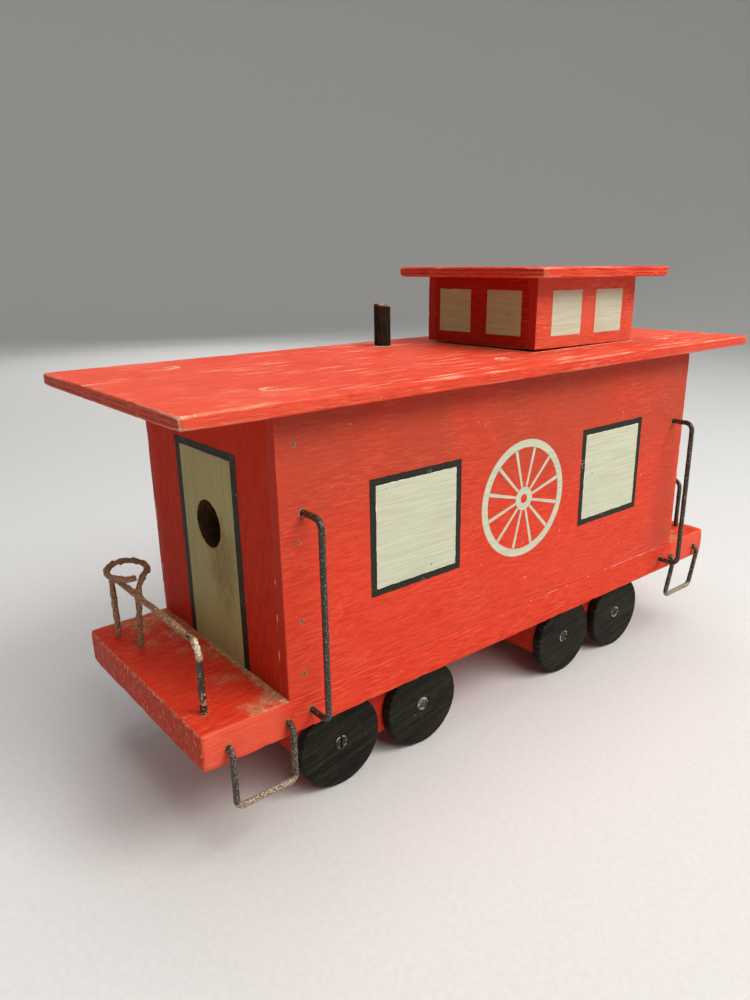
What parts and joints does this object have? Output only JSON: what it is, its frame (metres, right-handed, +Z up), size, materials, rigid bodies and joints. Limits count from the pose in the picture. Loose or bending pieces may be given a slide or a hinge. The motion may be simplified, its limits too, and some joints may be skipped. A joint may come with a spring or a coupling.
{
  "type": "model caboose",
  "caption": "Handmade wooden model caboose with a lift-off cupola, wooden disc wheels that turn on their screws, and bent-wire railings, grab irons, steps and brake wheel.",
  "frame": {"origin": "on the surface that the wheels stand on, under the middle of the body", "axes": "+X runs to the rear end, -X to the front end with the brake wheel, +Y to the left side and +Z up"},
  "size_m": [0.4302, 0.172, 0.2717],
  "materials": {
    "red_painted_wood": "brushed-on orange-red paint, satin, worn at the edges",
    "black_painted_wood": "black paint, satin, scratched",
    "bare_wood": "bare sawn pine",
    "wood_filler": "rough tan wood filler with paint over it",
    "blackened_wire": "black paint worn to rusty wire",
    "screw_steel": "dulled steel",
    "cream_paint": "brushed-on grey-cream paint of the windows, door and motif, satin",
    "black_paint": "black painted line round the windows and door, satin"
  },
  "bodies": {
    "body": {"floor_board": "red_painted_wood", "side_panel_right": "red_painted_wood", "side_panel_left": "red_painted_wood", "front_wall": "red_painted_wood", "rear_wall": "red_painted_wood", "roof_board": "red_painted_wood", "roof_rib": "bare_wood", "smoke_stack": "black_painted_wood", "truck_block_front": "red_painted_wood", "truck_block_rear": "red_painted_wood", "wheel_screws": "screw_steel", "block_screws": "screw_steel", "floor_screws": "screw_steel", "roof_screws": "screw_steel", "screw_plugs": "wood_filler", "side_nails_right": "screw_steel", "side_nails_left": "screw_steel", "front_railing": "blackened_wire", "rear_railing": "blackened_wire", "brake_wheel": "blackened_wire", "grab_iron_right_front": "blackened_wire", "grab_iron_right_rear": "blackened_wire", "grab_iron_left_front": "blackened_wire", "grab_iron_left_rear": "blackened_wire", "step_iron_right_front": "blackened_wire", "step_iron_right_rear": "blackened_wire", "step_iron_left_front": "blackened_wire", "step_iron_left_rear": "blackened_wire"},
    "cupola": {"cupola_right_wall": "red_painted_wood", "cupola_left_wall": "red_painted_wood", "cupola_front_wall": "red_painted_wood", "cupola_rear_wall": "red_painted_wood", "cupola_roof": "red_painted_wood", "cupola_cleat_front": "bare_wood", "cupola_cleat_rear": "bare_wood"},
    "wheel_right_1": {"wheel_right_1": "black_painted_wood"},
    "wheel_right_2": {"wheel_right_2": "black_painted_wood"},
    "wheel_right_3": {"wheel_right_3": "black_painted_wood"},
    "wheel_right_4": {"wheel_right_4": "black_painted_wood"},
    "wheel_left_1": {"wheel_left_1": "black_painted_wood"},
    "wheel_left_2": {"wheel_left_2": "black_painted_wood"},
    "wheel_left_3": {"wheel_left_3": "black_painted_wood"},
    "wheel_left_4": {"wheel_left_4": "black_painted_wood"}
  },
  "joints": [
    {"name": "cupola_lift", "type": "slide", "parent": "body", "child": "cupola", "axis": [0, 0, 1], "range_m": [0, 0.06]},
    {"name": "wheel_right_1_spin", "type": "hinge", "parent": "body", "child": "wheel_right_1", "pos_m": [-0.1255, -0.052, 0.0264], "axis": [0, 1, 0], "continuous": true},
    {"name": "wheel_right_2_spin", "type": "hinge", "parent": "body", "child": "wheel_right_2", "pos_m": [-0.0658, -0.052, 0.0264], "axis": [0, 1, 0], "continuous": true},
    {"name": "wheel_right_3_spin", "type": "hinge", "parent": "body", "child": "wheel_right_3", "pos_m": [0.0658, -0.052, 0.0264], "axis": [0, 1, 0], "continuous": true},
    {"name": "wheel_right_4_spin", "type": "hinge", "parent": "body", "child": "wheel_right_4", "pos_m": [0.1255, -0.052, 0.0264], "axis": [0, 1, 0], "continuous": true},
    {"name": "wheel_left_1_spin", "type": "hinge", "parent": "body", "child": "wheel_left_1", "pos_m": [-0.1255, 0.052, 0.0264], "axis": [0, 1, 0], "continuous": true},
    {"name": "wheel_left_2_spin", "type": "hinge", "parent": "body", "child": "wheel_left_2", "pos_m": [-0.0658, 0.052, 0.0264], "axis": [0, 1, 0], "continuous": true},
    {"name": "wheel_left_3_spin", "type": "hinge", "parent": "body", "child": "wheel_left_3", "pos_m": [0.0658, 0.052, 0.0264], "axis": [0, 1, 0], "continuous": true},
    {"name": "wheel_left_4_spin", "type": "hinge", "parent": "body", "child": "wheel_left_4", "pos_m": [0.1255, 0.052, 0.0264], "axis": [0, 1, 0], "continuous": true}
  ]
}
